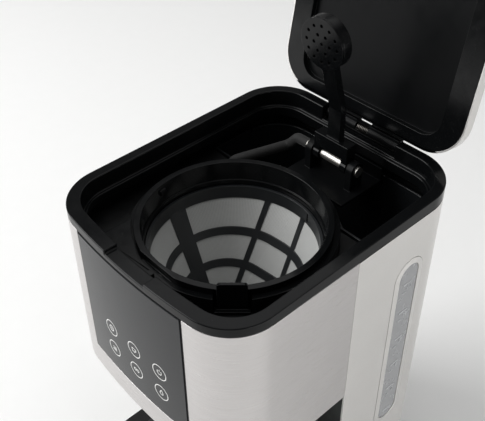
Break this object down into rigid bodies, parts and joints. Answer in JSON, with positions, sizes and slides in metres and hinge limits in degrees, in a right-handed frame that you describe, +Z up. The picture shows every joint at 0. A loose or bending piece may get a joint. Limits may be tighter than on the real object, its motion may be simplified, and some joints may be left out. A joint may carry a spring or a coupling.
{
  "type": "drip coffee maker",
  "caption": "Countertop drip coffee maker with its lid open, showing a lift-out basket and mesh filter, a raised water arm, a touch panel and a water gauge, over a glass carafe.",
  "frame": {"origin": "on the table plane, under the middle of the whole machine with its lid open", "axes": "+X to the water gauge side, +Y to the back, +Z up"},
  "size_m": [0.2007, 0.3008, 0.5706],
  "materials": {
    "black_gloss": "moulded, polished",
    "black_matte": "moulded, fine texture",
    "brushed_steel": "brushed across",
    "silver_paint": "silver spray paint",
    "panel_gloss": "smoked, polished",
    "white_print": "printed ink",
    "grey_window": "smoked translucent",
    "window_marks": "raised in the moulding",
    "clear_glass": "blown, clear",
    "tank_plastic": "moulded",
    "bright_steel": "drawn, bright",
    "cast_aluminium": "cast",
    "plate_enamel": "non-stick coating",
    "black_rubber": "moulded",
    "hose_silicone": "extruded",
    "circuit_board": "laminate",
    "filter_plastic": "moulded",
    "nylon_mesh": "woven",
    "valve_plastic": "moulded"
  },
  "bodies": {
    "machine": {"base_shell": "black_gloss", "base_band": "brushed_steel", "bottom_cover": "black_matte", "cover_screws": "bright_steel", "rubber_feet": "black_rubber", "cord_gland": "black_matte", "hot_plate": "plate_enamel", "plate_seal": "black_rubber", "heating_element": "cast_aluminium", "thermostat": "bright_steel", "thermal_fuse": "bright_steel", "power_board": "circuit_board", "board_posts": "black_matte", "bay_wall": "black_gloss", "rear_cover": "silver_paint", "gauge_bezel": "silver_paint", "gauge_window": "grey_window", "gauge_marks": "window_marks", "head_shell": "black_gloss", "steel_wrap": "brushed_steel", "control_panel": "panel_gloss", "panel_trim": "black_matte", "touch_icons": "white_print", "control_board": "circuit_board", "display_module": "black_matte", "top_rim": "black_gloss", "hinge_pin": "bright_steel", "lid_spring": "bright_steel", "brew_deck": "black_gloss", "brew_well": "black_gloss", "basket_seat": "black_gloss", "well_shelf": "black_gloss", "water_tank": "tank_plastic", "tank_seat": "black_matte", "check_valve": "tank_plastic", "feed_hose": "hose_silicone", "riser_hose": "black_rubber", "arm_bracket": "black_gloss", "pivot_tube": "bright_steel"},
    "lid": {"lid_skin": "silver_paint", "lid_liner": "black_gloss", "lid_leaf": "black_gloss", "leaf_screws": "bright_steel"},
    "water_arm": {"water_arm": "black_gloss", "shower_plate": "black_gloss"},
    "basket": {"brew_basket": "black_gloss", "valve_cage": "black_matte", "valve_seal": "black_rubber", "drip_spring": "bright_steel"},
    "drip_valve": {"drip_valve": "valve_plastic"},
    "filter": {"filter_frame": "filter_plastic", "filter_mesh": "nylon_mesh"},
    "carafe": {"carafe_glass": "clear_glass", "carafe_band": "brushed_steel", "carafe_handle": "black_gloss"},
    "carafe_lid": {"carafe_lid": "black_gloss"}
  },
  "joints": [
    {"name": "lid_hinge", "type": "hinge", "parent": "machine", "child": "lid", "pos_m": [0, 0.10265, 0.3425], "axis": [1, 0, 0], "range_deg": [0, 101.6]},
    {"name": "arm_pivot", "type": "hinge", "parent": "machine", "child": "water_arm", "pos_m": [0, 0.06765, 0.33], "axis": [1, 0, 0], "range_deg": [0, 85.7]},
    {"name": "basket_lift", "type": "slide", "parent": "machine", "child": "basket", "axis": [0, 0, -1], "range_m": [-0.2, 0]},
    {"name": "filter_lift", "type": "slide", "parent": "basket", "child": "filter", "axis": [0, 0, -1], "range_m": [-0.12, 0]},
    {"name": "drip_valve_slide", "type": "slide", "parent": "basket", "child": "drip_valve", "axis": [0, 0, 1], "range_m": [0, 0.004], "stiffness_N_per_m": 60, "springref_m": -0.004, "deforming": ["drip_spring"]},
    {"name": "carafe_slide", "type": "slide", "parent": "machine", "child": "carafe", "axis": [0, 1, 0], "range_m": [-0.25, 0]},
    {"name": "carafe_lid_twist", "type": "hinge", "parent": "carafe", "child": "carafe_lid", "pos_m": [0, -0.06135, 0.17], "axis": [0, 0, 1], "range_deg": [-45, 0]}
  ],
  "couplings": [
    {"joint": "arm_pivot", "follows": "lid_hinge", "ratio": 0.8425}
  ]
}
